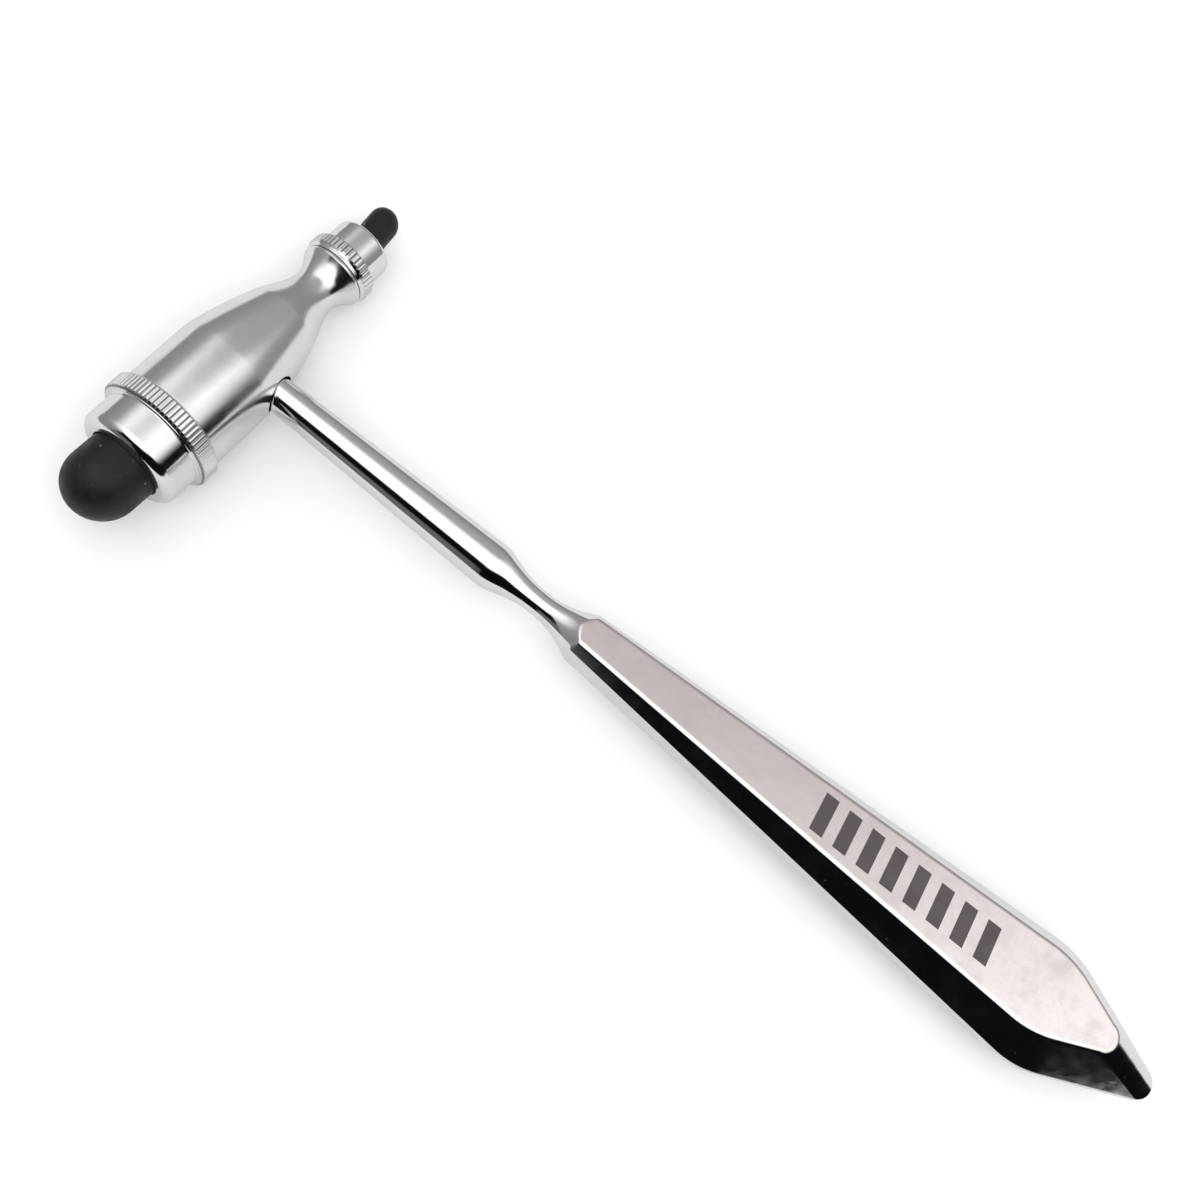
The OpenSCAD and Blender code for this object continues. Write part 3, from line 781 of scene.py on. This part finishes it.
def rubber(name):
    """Matt black moulded rubber with a fine skin texture and a few specks of dust."""
    material, n, shader = new_material(name)
    place = n.place()
    skin = n.noise(place, 6.0, 5.0, 0.65)
    cloud = n.noise(place, 0.3, 4.0, 0.6)
    specks = n.add("ShaderNodeTexVoronoi")
    specks.inputs["Scale"].default_value = 0.38
    n.link(place, specks.inputs["Vector"])
    dust = n.remap(specks.outputs["Distance"], 0.06, 0.10, 1.0, 0.0)
    colour = n.mix_colour(cloud, (0.004, 0.0045, 0.006), (0.011, 0.012, 0.015))
    colour = n.mix_colour(n.math("MULTIPLY", dust, 0.5), colour, (0.25, 0.25, 0.25))
    n.link(colour, shader.inputs["Base Color"])
    n.link(n.remap(cloud, 0.35, 0.65, 0.36, 0.6), shader.inputs["Roughness"])
    shader.inputs["Specular IOR Level"].default_value = 0.33
    n.link(n.bump(skin, 0.25, 0.00008), shader.inputs["Normal"])
    return material


def steel(name):
    """Stamped steel washers with a turned grain."""
    material, n, shader = new_material(name)
    shader.inputs["Metallic"].default_value = 1.0
    source = n.add("ShaderNodeTexCoord")
    grain = n.noise(source.outputs["Object"], 900.0, 4.0, 0.6)
    cloud = n.noise(source.outputs["Object"], 220.0, 3.0, 0.5)
    n.link(n.mix_colour(cloud, (0.5, 0.5, 0.51), (0.62, 0.62, 0.63)), shader.inputs["Base Color"])
    n.link(n.remap(grain, 0.3, 0.7, 0.28, 0.45), shader.inputs["Roughness"])
    n.link(n.bump(grain, 0.2, 0.00005), shader.inputs["Normal"])
    return material


# ---------------------------------------------------------------- pieces
head = make_head()
large_cap = make_cap("large_screw_cap", TO_LARGE, LARGE_PITCH, LARGE_SPIGOT_R, LARGE_LIP, **LARGE_CAP)
small_cap = make_cap("small_screw_cap", TO_SMALL, SMALL_PITCH, SMALL_SPIGOT_R, SMALL_LIP, **SMALL_CAP)
large_mallet = make_mallet("large_rubber_mallet", TO_LARGE, **LARGE_MALLET)
small_mallet = make_mallet("small_rubber_mallet", TO_SMALL, **SMALL_MALLET)
handle = make_handle()

CHROME_TINT = (0.86, 0.855, 0.865)
head_chrome = chrome("head_chrome", CHROME_TINT, (0.2, 4.0, 4.0), 0.000012, 0.13, 0.19)[0]
cap_chrome = chrome("cap_chrome", CHROME_TINT, (0.3, 5.0, 5.0), 0.000012, 0.07, 0.12)[0]
handle_chrome, *finish = chrome("handle_chrome", CHROME_TINT, (4.0, 0.15, 4.0), 0.000004, 0.04, 0.09)
grip_finish(*finish)
black_rubber = rubber("mallet_rubber")
washer_steel = steel("washer_steel")

FINISHED = [(head, "head", "head_body", "head_chrome", head_chrome),
            (large_cap, "large_cap_body", "large_cap", "cap_chrome", cap_chrome),
            (small_cap, "small_cap_body", "small_cap", "cap_chrome", cap_chrome),
            (large_mallet, "large_mallet_body", "large_mallet", "mallet_rubber", black_rubber),
            (small_mallet, "small_mallet_body", "small_mallet", "mallet_rubber", black_rubber),
            (handle, "handle_body", "handle", "handle_chrome", handle_chrome)]
for piece, body, node, slot, material in FINISHED:
    piece.data.materials.append(material)
    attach(piece, body)
    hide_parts(node)
for node in ("large_backing_washer", "small_backing_washer", "shaft_lock_washer"):
    frame["nodes"][node].data.materials.clear()
    frame["nodes"][node].data.materials.append(washer_steel)


# ---------------------------------------------------------------- studio
# Places in the light tent: azimuth and elevation in degrees in the tool's frame, and the cosines of
# the angles from there at which the place fades out and is full.
BLACK_WALL, BLACK_CORE = (-140, 0, 0.17, 0.29), (-124, 0, 0.37, 0.47)
RAISED_EDGE, DROPPED_EDGE = (170, 0, 0.0, 0.5), (-40, 0, 0.6, 0.95)
OPENING = (8, 45, 0.79, 0.975)
GREY_LOW, GREY_HIGH = (0.27, 0.26, 0.265), (0.43, 0.415, 0.42)
BLACK, WHITE = (0.004, 0.004, 0.005), (1.3, 1.3, 1.3)


def hide_from(obj, *kinds):
    for kind in kinds:
        setattr(obj, "visible_" + kind, False)


def make_plane(name, low, high, height, colours):
    mesh = bpy.data.meshes.new(name)
    mesh.from_pydata([(low[0], low[1], height), (high[0], low[1], height), (high[0], high[1], height),
                      (low[0], high[1], height)], [], [(0, 1, 2, 3)])
    plane = bpy.data.objects.new(name, mesh)
    bpy.context.scene.collection.objects.link(plane)
    material, n, shader = new_material(name)
    source = n.add("ShaderNodeTexCoord")
    cloud = n.noise(source.outputs["Object"], 3.0, 3.0, 0.5)
    n.link(n.mix_colour(cloud, *colours), shader.inputs["Base Color"])
    shader.inputs["Roughness"].default_value = 0.9
    shader.inputs["Specular IOR Level"].default_value = 0.1
    mesh.materials.append(material)
    return plane


def make_floor():
    """The pale floor, and a darker copy of it that only the polished metal sees in its place: painted shade
    on the floor's reflection.
    """
    room, edge = 6.0, -0.11
    floor = make_plane("studio_floor", (-room, -room), (room, room), 0.0, ((0.93,) * 3, (0.95,) * 3))
    hide_from(floor, "glossy", "shadow")
    # a darker copy of the floor, seen only in reflections: painted shade
    shaded_floor = make_plane("shaded_floor_in_gloss", (edge, -room), (room, room), 0.0002, ((0.66,) * 3, (0.68,) * 3))
    hide_from(shaded_floor, "camera", "diffuse", "shadow")


def heading(azimuth, elevation):
    a, e = math.radians(azimuth), math.radians(elevation)
    return Vector((math.cos(a) * math.cos(e), math.sin(a) * math.cos(e), math.sin(e)))


def make_tent():
    """The light tent, seen only by the polished metal: a white ceiling with a grey opening on one
    side, grey walls and a black wall on the far side from it."""
    bpy.ops.mesh.primitive_uv_sphere_add(segments=64, ring_count=32, radius=2.5)
    tent = bpy.context.object
    tent.name = "light_tent"
    tent.rotation_euler = Matrix(TURN).transposed().to_euler()
    hide_from(tent, "camera", "diffuse", "shadow", "transmission", "volume_scatter")
    material = bpy.data.materials.new("light_tent")
    material.use_nodes = True
    material.node_tree.nodes.clear()
    n = Nodes(material.node_tree)
    source = n.add("ShaderNodeTexCoord")

    def normalised(vector):
        node = n.add("ShaderNodeVectorMath", operation="NORMALIZE")
        n.link(vector, node.inputs[0])
        return node.outputs[0]

    def soft(value, low, high):
        node = n.add("ShaderNodeMapRange", interpolation_type="SMOOTHSTEP")
        for name, v in (("From Min", low), ("From Max", high), ("Value", value)):
            if isinstance(v, float):
                node.inputs[name].default_value = v
            else:
                n.link(v, node.inputs[name])
        return node.outputs["Result"]

    def towards(direction, azimuth, elevation, low, high):
        dot = n.add("ShaderNodeVectorMath", operation="DOT_PRODUCT")
        n.link(direction, dot.inputs[0])
        dot.inputs[1].default_value = heading(azimuth, elevation)
        return soft(dot.outputs["Value"], low, high)

    def blend(factor, a, b):
        return n.math("MULTIPLY_ADD", factor, b - a, a)

    direction = normalised(source.outputs["Object"])
    height = n.add("ShaderNodeSeparateXYZ")
    n.link(direction, height.inputs[0])
    height = height.outputs["Z"]
    flatten = n.add("ShaderNodeVectorMath", operation="MULTIPLY")
    flatten.inputs[1].default_value = (1, 1, 0)
    n.link(direction, flatten.inputs[0])
    level = normalised(flatten.outputs[0])

    # edge is the height where the ceiling starts: raised in one place and dropped in another
    black = towards(level, *BLACK_WALL)
    raised = n.math("MULTIPLY", towards(level, *RAISED_EDGE), n.math("MULTIPLY", black, 0.28))
    edge = n.math("ADD", blend(black, 0.5, 0.4), raised)
    edge = n.math("MULTIPLY_ADD", towards(level, *DROPPED_EDGE), -0.12, edge)
    ceiling = soft(height, edge, blend(black, 0.95, 0.75))
    ceiling = n.math("MULTIPLY", ceiling, n.math("SUBTRACT", 1.0, towards(direction, *OPENING)))
    grey = n.mix_colour(soft(height, 0.1, 0.85), GREY_LOW, GREY_HIGH)
    colour = n.mix_colour(black, grey, BLACK)
    # low down, the black wall is greyer outside its core
    paler = n.math("SUBTRACT", 1.0, towards(level, *BLACK_CORE))
    paler = n.math("MULTIPLY", n.math("MULTIPLY", paler, black), soft(height, 0.36, 0.2))
    colour = n.mix_colour(n.math("MULTIPLY", paler, 0.5), colour, grey)
    colour = n.mix_colour(ceiling, colour, WHITE)
    emission = n.add("ShaderNodeEmission")
    n.link(colour, emission.inputs["Color"])
    output = n.add("ShaderNodeOutputMaterial")
    n.link(emission.outputs[0], output.inputs["Surface"])
    tent.data.materials.append(material)


def make_light(name, where, aim, size, power):
    data = bpy.data.lights.new(name, "AREA")
    data.shape, data.size, data.energy = "DISK", size, power
    light = bpy.data.objects.new(name, data)
    bpy.context.scene.collection.objects.link(light)
    light.location = where
    light.rotation_euler = (Vector(aim) - Vector(where)).to_track_quat("-Z", "Y").to_euler()
    light.visible_glossy = False
    return light


make_floor()
make_tent()
make_light("key_softbox", (-0.5, -0.5, 1.2), (0, 0, 0), 1.4, 7.0)
world = bpy.data.worlds.new("studio")
bpy.context.scene.world = world
world.use_nodes = True
world.node_tree.nodes["Background"].inputs["Color"].default_value = (1, 1, 1, 1)
world.node_tree.nodes["Background"].inputs["Strength"].default_value = 1.0
bpy.context.scene.view_settings.view_transform = "Standard"

# ---------------------------------------------------------------- camera
LENS = 44.7
CAMERA_AT = (-119.4, -106.1, 273.7)
CAMERA_RIGHT = (0.5854, -0.7793, 0.2237)
CAMERA_UP = (0.6911, 0.6239, 0.365)
camera_data = bpy.data.cameras.new("camera")
camera_data.lens = LENS
camera = bpy.data.objects.new("camera", camera_data)
bpy.context.scene.collection.objects.link(camera)
right = Vector(np.array(CAMERA_RIGHT) @ TURN).normalized()
back = right.cross(Vector(np.array(CAMERA_UP) @ TURN)).normalized()
axes = Matrix((right, back.cross(right), back)).transposed()
camera.matrix_world = Matrix.Translation(Vector(to_world(CAMERA_AT))) @ axes.to_4x4()
bpy.context.scene.camera = camera
